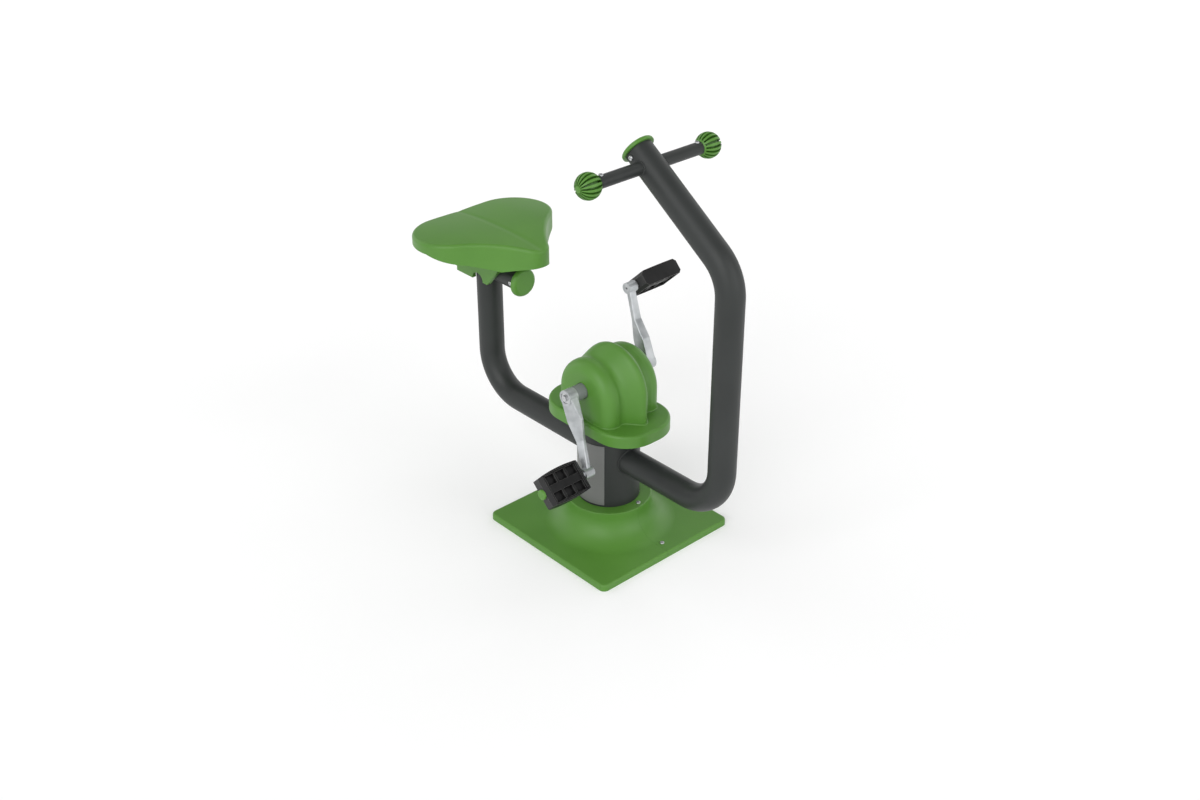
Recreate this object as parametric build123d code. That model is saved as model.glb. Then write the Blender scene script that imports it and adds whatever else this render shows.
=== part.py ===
from build123d import *
import math
import os

os.makedirs("parts", exist_ok=True)

# Outdoor exercise bike for a park. Millimetres, +Z up, +X the way the rider faces, +Y the rider's left.
# The origin lies on the ground, on the axis of the column that carries everything.

# Frame tubes
tube_od = 76.1
tube_wall = 3.0
bend_radius = 125.0
run_height = 248.0
post_setback = 518.0
mast_reach = 433.6
mast_knee_height = 940.1
mast_lean = 35.0
mast_upper_length = 400.0
weld_gap = 0.2

# Column, flange and anchor holes
column_od = 177.8
column_wall = 5.0
flange_side = 260.0
flange_thickness = 12.0
flange_corner = 18.0
anchor_spacing = 190.0
anchor_hole_radius = 11.0

# Moulded base cover
cover_side = 490.0
cover_corner = 18.0
cover_height = 20.0
cover_wall = 4.0
cover_edge = 6.0
collar_height = 108.0
collar_radius = 123.0
collar_shoulder = 3.0
bell_radius = 70.0
collar_clearance = 0.4
seam_gap = 0.4
lap_width = 30.0
lap_root = 20.0
lap_thickness = 3.0
lap_clearance = 0.3
lap_end_gap = 4.0
collar_screw_x = 105.7
plate_screw_x = 205.0
cover_screw_y = 16.5

# Blank information plate on the column
label_thickness = 1.2
label_gap = 0.1
label_half_angle = 39.2
label_foot_gap = 6.0
label_head_gap = 47.0

# Housing of the drive
brim_length = 370.0
brim_width = 231.0
brim_corner = 99.0
brim_height = 36.0
brim_below_axis = 84.5
brim_edge = 8.0
housing_wall = 4.0
side_lobe_below_axis = 23.5
side_lobe_radius = 106.0
side_lobe_face = 100.4
side_lobe_edge = 31.0
side_lobe_flat = 5.4
groove_radius = 104.0
centre_lobe_x = 24.5
centre_lobe_below_axis = 5.5
centre_lobe_radius = 121.5
centre_lobe_half_width = 48.0
dome_sections = 17
dome_foot_fillet = 4.0
housing_boss_radius = 8.0
housing_boss_x = 155.0
housing_boss_y = 40.0

# Column head and bearings
head_plate_inset = 5.0
head_plate_thickness = 8.0
head_plate_clearance = 0.4
crank_axis_height = 475.5
spindle_radius = 12.5
bearing_outer_radius = 26.0
bearing_width = 15.0
bearing_seat_clearance = 0.05
running_clearance = 0.03
bracket_inner_face = 47.0
bracket_thickness = 16.0
bracket_foot_width = 120.0
bracket_foot_reach = 48.0
bracket_foot_thickness = 10.0
bracket_eye_radius = 38.0
bracket_bolt_x = 42.0
bracket_bolt_reach = 34.0
thread_recess = 1.0

# Flywheel
flywheel_radius = 82.0
flywheel_rim = 22.0
flywheel_width = 26.0
flywheel_web = 8.0
hub_radius = 24.0
hub_width = 40.0
key_width = 8.0
key_height = 7.0
key_length = 36.0
key_clearance = 0.05

# Cranks
crank_length = 214.5
crank_angle = 24.5
crank_boss_inner = 132.0
crank_boss_outer = 162.0
crank_boss_radius = 22.0
crank_root_half_width = 21.0
crank_kink = 68.0
crank_kink_half_width = 25.0
crank_kink_thin_inset = 8.0
crank_kink_thin_edge = 9.5
crank_waist = 125.0
crank_waist_half_width = 10.5
crank_waist_inset = 3.0
crank_waist_thick_edge = 29.5
crank_waist_thin_inset = 11.0
crank_waist_thin_edge = 9.5
crank_tip_half_width = 9.5
crank_tip_inset = 2.0
crank_tip_thick_edge = 24.0
crank_tip_thin_inset = 6.0
crank_tip_thin_edge = 14.0
crank_edge = 3.0
pedal_boss_inner = 148.0
pedal_boss_outer = 178.0
pedal_boss_radius = 16.0
crank_bolt_recess = 4.0
crank_bolt_recess_radius = 16.5
crank_bolt_depth = 31.0
sleeve_radius = 22.0
sleeve_hole_clearance = 1.5
sleeve_end_gap = 0.3
seat_clearance = 0.02

# Pedals
pedal_length = 138.0
pedal_width = 95.0
pedal_thickness = 45.0
pedal_end_thickness = 26.0
pedal_bevel = 11.0
pedal_rim = 9.0
pedal_spine = 22.0
pedal_rib = 7.0
pedal_pocket_depth = 13.0
pedal_pockets = 3
pedal_corner = 11.0
pedal_side_radius = 450.0
pedal_lip = 4.5
pedal_lip_depth = 3.5
pedal_end_gap = 0.3
right_pedal_pitch = 44.0
left_pedal_pitch = -43.5
axle_thread_radius = 7.1
axle_flange_radius = 11.0
axle_flange_thickness = 5.7
axle_radius = 6.0
axle_tip_radius = 5.0
axle_socket_radius = 4.0
axle_socket_depth = 7.0
bush_radius = 9.0
bush_length = 18.0
pedal_recess_radius = 13.0
pedal_recess_depth = 24.0
pedal_cap_radius = 14.5
pedal_cap_height = 7.0
pedal_cap_edge = 3.0
pedal_cap_plug = 7.5
pedal_nut_height = 8.0
pedal_nut_radius = 9.0
pedal_nut_washer_radius = 11.5
pedal_thread_show = 2.0

# Saddle and its support
support_od = 60.3
support_wall = 3.0
support_height = 641.0
support_front = 149.0
support_rear = 127.0
post_top_drop = 7.5
saddle_lobe_x = 537.0
saddle_lobe_centre_y = 103.0
saddle_lobe_radius = 122.0
saddle_flank_radius = 520.0
saddle_nose_x = 311.0
saddle_nose_radius = 43.0
saddle_crest_rise = 145.0
saddle_crest_x = 450.0
saddle_crown_radius = 1560.0
saddle_brow_y = 105.0
saddle_lobe_inner_radius = 2600.0
saddle_lobe_outer_radius = 1000.0
saddle_lip_radius = 90.0
saddle_crease_radius = 45.0
saddle_crease_angle = 8.0
saddle_top_edge = 10.0
saddle_rear_depth = 40.0
saddle_belly_x = 354.0
saddle_belly_depth = 84.0
saddle_nose_depth = 64.0
saddle_belly_start = 515.0
cradle_half_width = 44.0
cradle_rear = 615.0
cradle_tip_x = 474.0
cradle_front = 385.0
cradle_foot_drop = 33.0
cradle_tube_clearance = 0.3
cradle_notch_radius = 24.0
cradle_post_clearance = 1.0
cradle_pocket_depth = 9.0
cradle_pockets = 2
cradle_rib = 9.0
cradle_ear_half_width = 72.0
cradle_ear_thickness = 8.0
saddle_screw_y = 58.0
saddle_screw_inset = 18.0
saddle_bolt_rear = 82.0
saddle_bolt_front = 43.0
saddle_bolt_seat = 35.0
saddle_bolt_reach = 9.0

# Caps, handlebar and grips
mast_cap_radius = 46.0
mast_cap_height = 11.0
support_cap_radius = 42.5
support_cap_height = 16.0
mast_cap_edge = 6.0
support_cap_edge = 12.0
cap_under_edge = 2.0
plug_length = 28.0
plug_clearance = 0.25
bar_od = 33.7
bar_wall = 2.6
bar_from_knee = 351.0
bar_hole_clearance = 0.15
grip_y = 206.5
grip_radius = 34.5
grip_neck = 30.0
grip_spigot_length = 45.0
grip_screw_inset = 11.0
grip_fins = 16
grip_groove_depth = 9.0
grip_pole_radius = 9.0

# Small screws
screw_radius = 3.0
screw_head_radius = 6.5
screw_head_height = 3.6
screw_head_dome = 2.2
screw_socket_radius = 2.6
screw_socket_depth = 2.2
screw_length = 14.0
screw_clearance = 0.3
screw_thread_clearance = 0.1
bolt_radius = 5.0
bolt_head_height = 6.5
bolt_across_flats = 16.0
washer_radius = 11.0
washer_thickness = 2.0

# Derived places
tube_radius = tube_od / 2
column_radius = column_od / 2
support_radius = support_od / 2
bar_radius = bar_od / 2
brim_top = crank_axis_height - brim_below_axis
brim_bottom = brim_top - brim_height
side_lobe_height = crank_axis_height - side_lobe_below_axis
centre_lobe_height = crank_axis_height - centre_lobe_below_axis
side_lobe_inner = side_lobe_face - side_lobe_edge - side_lobe_flat
label_bottom = collar_height + label_foot_gap
label_top = brim_bottom - label_head_gap
saddle_crest_height = support_height + saddle_crest_rise
saddle_rear_height = saddle_crest_height - saddle_rear_depth
saddle_belly_height = saddle_crest_height - saddle_belly_depth
saddle_nose_height = saddle_crest_height - saddle_nose_depth
head_plate_bottom = brim_bottom + head_plate_inset
head_plate_top = head_plate_bottom + head_plate_thickness
bearing_middle = bracket_inner_face + bracket_thickness / 2
bearing_outer_face = bearing_middle + bearing_width / 2
pedal_inner_face = pedal_boss_outer + axle_flange_thickness + pedal_end_gap
pedal_outer_face = pedal_inner_face + pedal_length
lean = math.radians(mast_lean)
upper_direction = Vector(-math.cos(lean), 0, math.sin(lean))
knee = Vector(mast_reach, 0, mast_knee_height)
mast_end = knee + upper_direction * mast_upper_length
bar_centre = knee + upper_direction * bar_from_knee
support_front_x = -post_setback + support_front
support_rear_x = -post_setback - support_rear
far = 1000.0
cut_margin = 50.0
touch = 0.1


def write(node, *solids):
    """Writes one node: a single solid, or several identical pieces as a group."""
    shape = solids[0] if len(solids) == 1 else Compound(children=list(solids))
    shape.label = node
    export_step(shape, f"parts/{node}.step")


def rod(start, end, radius):
    """A round bar from one point to another."""
    along = Vector(*end) - Vector(*start)
    return extrude(Plane(origin=start, z_dir=along) * Circle(radius), along.length)


def slab(x_span, y_span, z_span):
    """A box between two limits on each axis."""
    size = [high - low for low, high in (x_span, y_span, z_span)]
    middle = [(high + low) / 2 for low, high in (x_span, y_span, z_span)]
    return Pos(*middle) * Box(*size)


def pipe(path, outer_radius, wall):
    """A round tube along a path."""
    start = Plane(origin=path @ 0, z_dir=path % 0)
    outer = sweep(start * Circle(outer_radius), path=path)
    return outer - sweep(start * Circle(outer_radius - wall), path=path)


def prism_xz(points, y_span):
    """A side profile in X and Z, extruded across the machine."""
    profile = Plane.XZ * make_face(Polyline(*points, close=True))
    return Pos(0, y_span[1], 0) * extrude(profile, y_span[1] - y_span[0])


def put(shape, origin, outward):
    """Places a shape made on the XY plane so that its +Z points outward from a surface."""
    return Plane(origin=origin, z_dir=outward).location * shape


def button_screw(length):
    """A round-headed screw with a hexagon socket, its head's underside at the origin."""
    head = Cylinder(screw_head_radius, screw_head_height, align=(Align.CENTER, Align.CENTER, Align.MIN))
    head = fillet(head.edges().group_by(Axis.Z)[-1], screw_head_dome)
    socket = extrude(RegularPolygon(screw_socket_radius, 6), screw_socket_depth)
    head -= Pos(0, 0, screw_head_height - screw_socket_depth) * socket
    return head + rod((0, 0, -length), (0, 0, 0), screw_radius)


def hex_bolt(length, with_washer):
    """A hexagon bolt on a washer, the seat at the origin."""
    seat = washer_thickness if with_washer else 0.0
    head = extrude(RegularPolygon(bolt_across_flats / 2, 6, major_radius=False), bolt_head_height)
    bolt = Pos(0, 0, seat) * head + rod((0, 0, -length), (0, 0, seat), bolt_radius)
    if with_washer:
        bolt += rod((0, 0, 0), (0, 0, seat), washer_radius)
    return bolt


def mushroom_cap(radius, height, top_edge, tube_inner_radius):
    """A domed plastic cap with a plug, its seat on the tube's end at the origin."""
    head = Cylinder(radius, height, align=(Align.CENTER, Align.CENTER, Align.MIN))
    head = fillet(head.edges().group_by(Axis.Z)[-1], top_edge)
    head = fillet(head.edges().group_by(Axis.Z)[0], cap_under_edge)
    return head + rod((0, 0, -plug_length), (0, 0, 0), tube_inner_radius - plug_clearance)


def screw_hole(place, outward, radius):
    """The hole of a small screw that enters a piece at a place on its surface."""
    direction = Vector(*outward)
    return rod(Vector(*place) - direction * screw_length, Vector(*place) + direction * screw_length, radius)


# Base flange, welded under the column
flange = extrude(RectangleRounded(flange_side, flange_side, flange_corner), flange_thickness)
for hole in GridLocations(anchor_spacing, anchor_spacing, 2, 2):
    flange -= hole * Cylinder(anchor_hole_radius, far)
write("base_flange", flange)

# Column tube from the flange to the head plate
column = rod((0, 0, flange_thickness), (0, 0, head_plate_bottom), column_radius)
column -= rod((0, 0, 0), (0, 0, far), column_radius - column_wall)
write("column_tube", column)

# Blank information plate, bent round the column's right side
label_inner = column_radius + label_gap
label_ring = Circle(label_inner + label_thickness) - Circle(label_inner)
label_edge = math.radians(label_half_angle)
label_reach = 2 * column_radius
label_wedge = make_face(
    Polyline(
        (0, 0),
        (-label_reach * math.sin(label_edge), -label_reach * math.cos(label_edge)),
        (label_reach * math.sin(label_edge), -label_reach * math.cos(label_edge)),
        close=True,
    )
)
info_plate = extrude(label_ring & label_wedge, label_top - label_bottom)
write("info_plate", Pos(0, 0, label_bottom) * info_plate)


def cover_form(inset):
    """The base cover's outer form, or with an inset the space under that much wall."""
    side = cover_side - 2 * inset
    top = cover_height - inset
    collar = collar_radius - inset
    arc_radius = bell_radius + inset
    bell_centre = collar_radius + bell_radius
    bell_base = cover_height + bell_radius
    arc_middle = math.sqrt(0.5) * arc_radius
    foot = Polyline((0, 0), (bell_centre, 0), (bell_centre, top))
    bell_middle = (bell_centre - arc_middle, bell_base - arc_middle)
    bell = ThreePointArc((bell_centre, top), bell_middle, (collar, bell_base))
    neck_top = collar_height - inset
    neck = Polyline((collar, bell_base), (collar, neck_top), (0, neck_top), (0, 0))
    section = make_face([foot, bell, neck])
    if inset == 0:
        shoulder = section.vertices().sort_by_distance((collar, collar_height, 0))[0]
        section = fillet(shoulder, collar_shoulder)
    body = revolve(Plane.XZ * section, Axis.Z)
    plate = extrude(RectangleRounded(side, side, cover_corner - inset), top)
    if inset == 0:
        plate = fillet(plate.edges().group_by(Axis.Z)[-1], cover_edge)
    return body + plate


# Base cover in two halves that meet under the tubes, with a lap tongue under the left half's edge
cover_shell = cover_form(0) - cover_form(cover_wall)
cover_shell -= rod((0, 0, 0), (0, 0, far), column_radius + collar_clearance)
right_half = cover_shell & slab((-far, far), (-far, -seam_gap / 2), (-far, far))
left_half = cover_shell & slab((-far, far), (seam_gap / 2, far), (-far, far))
lap_top = cover_wall + lap_clearance
lap_layer = cover_form(lap_top) - cover_form(lap_top + lap_thickness)
lap_joint = cover_form(cover_wall) - cover_form(lap_top)
lap_start = column_radius + collar_clearance + lap_clearance
lap_end = cover_side / 2 - cover_wall - lap_end_gap
screw_places = []
for end in (1, -1):
    x_span = sorted((end * lap_start, end * lap_end))
    tongue = lap_layer & slab(x_span, (-lap_root, lap_width), (cover_wall, far))
    root = lap_joint & slab(x_span, (-lap_root, -seam_gap / 2), (cover_wall, far))
    right_half += tongue + root
    screw_places.append((end * collar_screw_x, cover_screw_y, collar_height))
    screw_places.append((end * plate_screw_x, cover_screw_y, cover_height))
cover_screws = []
for place in screw_places:
    left_half -= put(Cylinder(screw_radius + screw_clearance, 2 * screw_length), place, (0, 0, 1))
    right_half -= put(Cylinder(screw_radius + screw_thread_clearance, 2 * screw_length), place, (0, 0, 1))
    cover_screws.append(put(button_screw(screw_length), place, (0, 0, 1)))
write("base_cover_right", right_half)
write("base_cover_left", left_half)
write("base_cover_screws", *cover_screws)

# Seat tube: horizontal run, one bend and the post, coped to the column and to the support tube
run_start = column_radius - tube_radius / 2
post_top = support_height - post_top_drop
seat_path = FilletPolyline(
    (-run_start, 0, run_height),
    (-post_setback, 0, run_height),
    (-post_setback, 0, post_top),
    radius=bend_radius,
)
column_cope = rod((0, 0, 0), (0, 0, far), column_radius + weld_gap)
support_cope = rod((-far, 0, support_height), (0, 0, support_height), support_radius + weld_gap)
seat_tube = pipe(seat_path, tube_radius, tube_wall) - column_cope - support_cope
write("seat_tube", seat_tube)

# Mast tube: horizontal run, bend, upright, knee and the leaning upper run with the crossbar's holes
mast_path = FilletPolyline(
    (run_start, 0, run_height),
    (mast_reach, 0, run_height),
    knee,
    mast_end,
    radius=bend_radius,
)
bar_half = grip_y - grip_neck
sideways = Vector(0, 1, 0)
bar_hole = rod(bar_centre - sideways * far, bar_centre + sideways * far, bar_radius + bar_hole_clearance)
mast_screw_place = mast_end - upper_direction * (plug_length / 2) - Vector(0, tube_radius, 0)
mast_tube = pipe(mast_path, tube_radius, tube_wall) - column_cope - bar_hole
mast_tube -= screw_hole(mast_screw_place, (0, -1, 0), screw_radius + screw_clearance)
write("mast_tube", mast_tube)

# Mast cap, pushed into the tube's upper end
mast_cap = mushroom_cap(mast_cap_radius, mast_cap_height, mast_cap_edge, tube_radius - tube_wall)
mast_cap = put(mast_cap, mast_end, upper_direction)
mast_cap -= screw_hole(mast_screw_place, (0, -1, 0), screw_radius + screw_thread_clearance)
write("mast_cap", mast_cap)
tube_screws = [put(button_screw(screw_length), mast_screw_place, (0, -1, 0))]

# Crossbar through the mast
crossbar = rod(bar_centre - sideways * bar_half, bar_centre + sideways * bar_half, bar_radius)
crossbar -= rod(bar_centre - sideways * far, bar_centre + sideways * far, bar_radius - bar_wall)


def grip_ball():
    """A ball grip with meridian fins about its own Z axis, the bar entering from below."""
    neck_radius = math.sqrt(grip_radius**2 - grip_neck**2)
    profile = make_face(
        [
            Polyline((0, grip_radius), (0, -grip_neck), (neck_radius, -grip_neck)),
            ThreePointArc((neck_radius, -grip_neck), (grip_radius, 0), (0, grip_radius)),
        ]
    )
    ball = revolve(Plane.XZ * profile, Axis.Z)
    groove_floor = bar_wall - grip_neck
    groove_reach = 2 * grip_radius
    groove_side = make_face(
        Polyline(
            (grip_pole_radius, groove_floor),
            (groove_reach, groove_floor),
            (groove_reach, groove_reach),
            (grip_pole_radius, groove_reach),
            close=True,
        )
    )
    groove_side -= Circle(grip_radius - grip_groove_depth)
    fin_pitch = 360 / grip_fins
    groove = revolve(Plane.XZ * groove_side, Axis.Z, fin_pitch / 2)
    for count in range(grip_fins):
        ball -= Rot(0, 0, fin_pitch / 4 + count * fin_pitch) * groove
    spigot_radius = bar_radius - bar_wall - plug_clearance
    return ball + rod((0, 0, -grip_neck - grip_spigot_length), (0, 0, -grip_neck), spigot_radius)


# Ball grips, each on a spigot inside the crossbar's end and held by a screw from above
for name, side in (("right", -1), ("left", 1)):
    place = bar_centre + Vector(0, side * (bar_half - grip_screw_inset), bar_radius)
    crossbar -= screw_hole(place, (0, 0, 1), screw_radius + screw_clearance)
    grip = put(grip_ball(), bar_centre + Vector(0, side * grip_y, 0), (0, side, 0))
    grip -= screw_hole(place, (0, 0, 1), screw_radius + screw_thread_clearance)
    write(f"grip_ball_{name}", grip)
    tube_screws.append(put(button_screw(screw_length), place, (0, 0, 1)))
write("crossbar", crossbar)

# Support tube under the saddle, with a cap at each end
support_ends = [(x, 0, support_height) for x in (support_rear_x, support_front_x)]
support_tube = rod(support_ends[0], support_ends[1], support_radius)
support_tube -= rod((-far, 0, support_height), (0, 0, support_height), support_radius - support_wall)
for name, end_x, way in (("front", support_front_x, 1), ("rear", support_rear_x, -1)):
    place = (end_x - way * plug_length / 2, -support_radius, support_height)
    support_tube -= screw_hole(place, (0, -1, 0), screw_radius + screw_clearance)
    support_bore = support_radius - support_wall
    cap = mushroom_cap(support_cap_radius, support_cap_height, support_cap_edge, support_bore)
    cap = put(cap, (end_x, 0, support_height), (way, 0, 0))
    cap -= screw_hole(place, (0, -1, 0), screw_radius + screw_thread_clearance)
    write(f"support_cap_{name}", cap)
    tube_screws.append(put(button_screw(screw_length), place, (0, -1, 0)))
write("tube_screws", *tube_screws)

# Saddle plan: two round rear lobes, hollow flanks and a round nose, all tangent
saddle_back = saddle_lobe_x + saddle_lobe_radius
saddle_tip = saddle_nose_x - saddle_nose_radius
lobe_centre = Vector(-saddle_lobe_x, saddle_lobe_centre_y)
nose_centre = Vector(-saddle_nose_x, 0)
lobe_to_nose = nose_centre - lobe_centre
lobe_reach = saddle_flank_radius + saddle_lobe_radius
nose_reach = saddle_flank_radius + saddle_nose_radius
forward_run = (lobe_to_nose.length**2 + lobe_reach**2 - nose_reach**2) / (2 * lobe_to_nose.length)
along = lobe_to_nose.normalized()
aside = Vector(-along.Y, along.X)
flank_centre = lobe_centre + along * forward_run + aside * math.sqrt(lobe_reach**2 - forward_run**2)
lobe_end = lobe_centre + (flank_centre - lobe_centre) * (saddle_lobe_radius / lobe_reach)
nose_end = nose_centre + (flank_centre - nose_centre) * (saddle_nose_radius / nose_reach)
flank_aim = (lobe_end + nose_end) * 0.5 - flank_centre
flank_middle = flank_centre + flank_aim.normalized() * saddle_flank_radius
lobe_aim = (lobe_end - lobe_centre).normalized() + Vector(-1, 0)
lobe_middle = lobe_centre + lobe_aim.normalized() * saddle_lobe_radius
rear_corner = Vector(-saddle_back, saddle_lobe_centre_y)


def other_side(point):
    """The same point on the rider's right."""
    return Vector(point.X, -point.Y)


plan = make_face(
    [
        Line(other_side(rear_corner), rear_corner),
        ThreePointArc(rear_corner, lobe_middle, lobe_end),
        ThreePointArc(lobe_end, flank_middle, nose_end),
        ThreePointArc(nose_end, (-saddle_tip, 0), other_side(nose_end)),
        ThreePointArc(other_side(nose_end), other_side(flank_middle), other_side(lobe_end)),
        ThreePointArc(other_side(lobe_end), other_side(lobe_middle), other_side(rear_corner)),
    ]
)


# Saddle top: two lobes with a soft crease between them, bent along the machine
crease = math.radians(saddle_crease_angle)
crease_half_width = (saddle_crease_radius + saddle_lip_radius) * math.sin(crease)
inner = math.asin((saddle_brow_y - crease_half_width) / (saddle_lobe_inner_radius - saddle_lip_radius))
outer_run = saddle_lobe_centre_y + saddle_lobe_radius + cut_margin - saddle_brow_y
outer = math.asin(outer_run / saddle_lobe_outer_radius)
crease_depth = saddle_crease_radius * (1 - math.cos(crease))
crease_depth += saddle_lip_radius * (math.cos(inner) - math.cos(crease))
crease_depth += saddle_lobe_inner_radius * (1 - math.cos(inner))
hollow = JernArc((0, saddle_crest_height - crease_depth), (1, 0), saddle_crease_radius, saddle_crease_angle)
lip = JernArc(hollow @ 1, hollow % 1, saddle_lip_radius, -math.degrees(crease - inner))
slope = JernArc(lip @ 1, lip % 1, saddle_lobe_inner_radius, -math.degrees(inner))
shoulder = JernArc(slope @ 1, slope % 1, saddle_lobe_outer_radius, -math.degrees(outer))
section_floor = saddle_belly_height - cut_margin
outer_corner = (shoulder @ 1).X
skirt = Polyline(shoulder @ 1, (outer_corner, section_floor), (0, section_floor), hollow @ 0)
half_section = make_face([hollow, lip, slope, shoulder, skirt])
section = half_section + mirror(half_section, about=Plane.YZ)
crown_axis = Axis((-saddle_crest_x, 0, saddle_crest_height - saddle_crown_radius), (0, 1, 0))
crown_plane = Plane(origin=(-saddle_crest_x, 0, 0), x_dir=(0, 1, 0), z_dir=(1, 0, 0))
crown_run = max(saddle_back - saddle_crest_x, saddle_crest_x - saddle_tip) + cut_margin
crown_angle = math.degrees(math.asin(crown_run / saddle_crown_radius))
crown = revolve((crown_plane * section).rotate(crown_axis, -crown_angle), crown_axis, 2 * crown_angle)

# Saddle underside: level at the rear, falling to a belly ahead of the post and rising to the nose
belly_slope = (saddle_rear_height - saddle_belly_height) / (saddle_belly_start - saddle_belly_x)
nose_slope = (saddle_nose_height - saddle_belly_height) / (saddle_belly_x - saddle_tip)


def underside_height(x):
    """Height of the saddle's underside at a place along the machine."""
    if x < -saddle_belly_start:
        return saddle_rear_height
    if x < -saddle_belly_x:
        return saddle_rear_height - belly_slope * (x + saddle_belly_start)
    return saddle_belly_height + nose_slope * (x + saddle_belly_x)


underside_rear = -saddle_back - cut_margin
underside_front = -saddle_tip + cut_margin
underside_corners = (underside_rear, -saddle_belly_start, -saddle_belly_x, underside_front)
underside = [(x, underside_height(x)) for x in underside_corners]
saddle = extrude(plan, far) & crown
saddle -= prism_xz(underside + [(underside_front, 0), (underside_rear, 0)], (-far, far))
outline = plan.wire()


def on_top_rim(edge):
    """True for an edge that runs round the top of the saddle's wall."""
    middle = edge @ 0.5
    run = (edge @ 1) - (edge @ 0)
    at_wall = outline.distance_to(Vector(middle.X, middle.Y, 0)) < touch
    level = math.hypot(run.X, run.Y) > touch
    return at_wall and level and middle.Z > underside_height(middle.X) + touch


saddle = fillet([edge for edge in saddle.edges() if on_top_rim(edge)], saddle_top_edge)

# Cradle under the saddle: two cheeks astride the support tube, ribbed at the sides, with ears for screws
cradle_foot = support_height - cradle_foot_drop
cradle = prism_xz(
    [
        (-cradle_rear, saddle_rear_height),
        (-saddle_belly_start, saddle_rear_height),
        (-cradle_front, underside_height(-cradle_front)),
        (-cradle_tip_x, cradle_foot),
        (-cradle_rear, cradle_foot),
    ],
    (-cradle_half_width, cradle_half_width),
)
ear_bottom = saddle_rear_height - cradle_ear_thickness
ear_span = (-cradle_rear, -saddle_belly_start)
cradle += slab(ear_span, (-cradle_ear_half_width, cradle_ear_half_width), (ear_bottom, saddle_rear_height))
channel_radius = support_radius + cradle_tube_clearance
cradle -= rod((-far, 0, support_height), (0, 0, support_height), channel_radius)
cradle -= slab((-far, 0), (-channel_radius, channel_radius), (0, support_height))
post_bore = tube_radius + cradle_post_clearance
cradle -= rod((-post_setback, 0, 0), (-post_setback, 0, support_height), post_bore)
notch_centre = Vector(-post_setback, 0, cradle_foot)
cradle -= rod(notch_centre - Vector(0, far, 0), notch_centre + Vector(0, far, 0), cradle_notch_radius)
pocket_top = ear_bottom - cradle_rib
pocket_bottom = support_height + support_radius
pocket_step = (cradle_rear - saddle_belly_start - cradle_rib) / cradle_pockets
for side in (-1, 1):
    y_span = sorted((side * (cradle_half_width - cradle_pocket_depth), side * far))
    for count in range(cradle_pockets):
        start = -cradle_rear + cradle_rib + count * pocket_step
        cradle -= slab((start, start + pocket_step - cradle_rib), y_span, (pocket_bottom, pocket_top))

# Saddle screws from below, through the ears
saddle_screws = []
for x in (-cradle_rear + saddle_screw_inset, -saddle_belly_start - saddle_screw_inset):
    for side in (-1, 1):
        place = (x, side * saddle_screw_y, ear_bottom)
        cradle -= screw_hole(place, (0, 0, -1), screw_radius + screw_clearance)
        saddle -= screw_hole(place, (0, 0, -1), screw_radius + screw_thread_clearance)
        saddle_screws.append(put(button_screw(screw_length), place, (0, 0, -1)))
write("saddle", saddle)
write("saddle_screws", *saddle_screws)

# Bolts sunk in the cradle's top, that hold it on the support tube
saddle_bolts = []
bolt_seat_z = support_height + support_radius + saddle_bolt_seat
for bolt_x in (-saddle_bolt_rear, saddle_bolt_front):
    seat = Vector(-post_setback + bolt_x, 0, bolt_seat_z)
    cradle -= rod(seat, seat + Vector(0, 0, far), washer_radius + screw_clearance)
    tube_middle = seat - Vector(0, 0, saddle_bolt_seat + support_radius)
    cradle -= rod(tube_middle, seat, bolt_radius + screw_clearance)
    support_tube -= rod(tube_middle, seat, bolt_radius + screw_thread_clearance)
    bolt_length = saddle_bolt_seat + support_wall + saddle_bolt_reach
    saddle_bolts.append(put(hex_bolt(bolt_length, True), seat, (0, 0, 1)))
write("saddle_cradle", cradle)
write("support_tube", support_tube)
write("saddle_bolts", *saddle_bolts)


axis_point = Vector(0, 0, crank_axis_height)


def disc(half_width, radius):
    """A disc about the spindle's axis, centred on the machine."""
    return rod(axis_point - sideways * half_width, axis_point + sideways * half_width, radius)


def side_lobe(inset):
    """The dome's right side lobe on straight walls, or with an inset the space under that much wall."""
    low, high = -side_lobe_face + inset, -side_lobe_inner
    reach = side_lobe_radius - inset
    half = Pos(reach / 2, (low + high) / 2) * Rectangle(reach, high - low)
    half = fillet(half.vertices().sort_by_distance((reach, low, 0))[0], side_lobe_edge - inset)
    arch = revolve(half, Axis((0, 0, 0), (0, -1, 0)), 180)
    walls = extrude(half, -(side_lobe_height - brim_top + brim_edge + inset))
    return Pos(0, 0, side_lobe_height) * (arch + walls + mirror(walls, about=Plane.YZ))


def dome_section(y, inset):
    """The arch of the dome at a distance from its middle: the centre lobe, a groove, then the side lobe."""
    centre_share = (1 + math.cos(math.pi * min(abs(y) / centre_lobe_half_width, 1))) / 2
    side_run = (abs(y) - centre_lobe_half_width) / (side_lobe_inner - centre_lobe_half_width)
    side_share = (1 - math.cos(math.pi * max(side_run, 0))) / 2
    radius = groove_radius - inset
    radius += (centre_lobe_radius - groove_radius) * centre_share
    radius += (side_lobe_radius - groove_radius) * side_share
    middle_x = centre_lobe_x * centre_share
    height = side_lobe_height + (centre_lobe_height - side_lobe_height) * centre_share
    foot = brim_top - brim_edge - inset
    rear, front = middle_x - radius, middle_x + radius
    outline = [
        Polyline((rear, height), (rear, foot), (front, foot), (front, height)),
        ThreePointArc((front, height), (middle_x, height + radius), (rear, height)),
    ]
    return Plane(origin=(0, y, 0), x_dir=(1, 0, 0), z_dir=(0, -1, 0)) * make_face(outline)


def dome_form(inset):
    """The whole dome, or with an inset the space under that much wall."""
    step = 2 * side_lobe_inner / (dome_sections - 1)
    middle = loft([dome_section(-side_lobe_inner + count * step, inset) for count in range(dome_sections)])
    right = side_lobe(inset)
    return right.fuse(middle, mirror(right, about=Plane.XZ))


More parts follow.
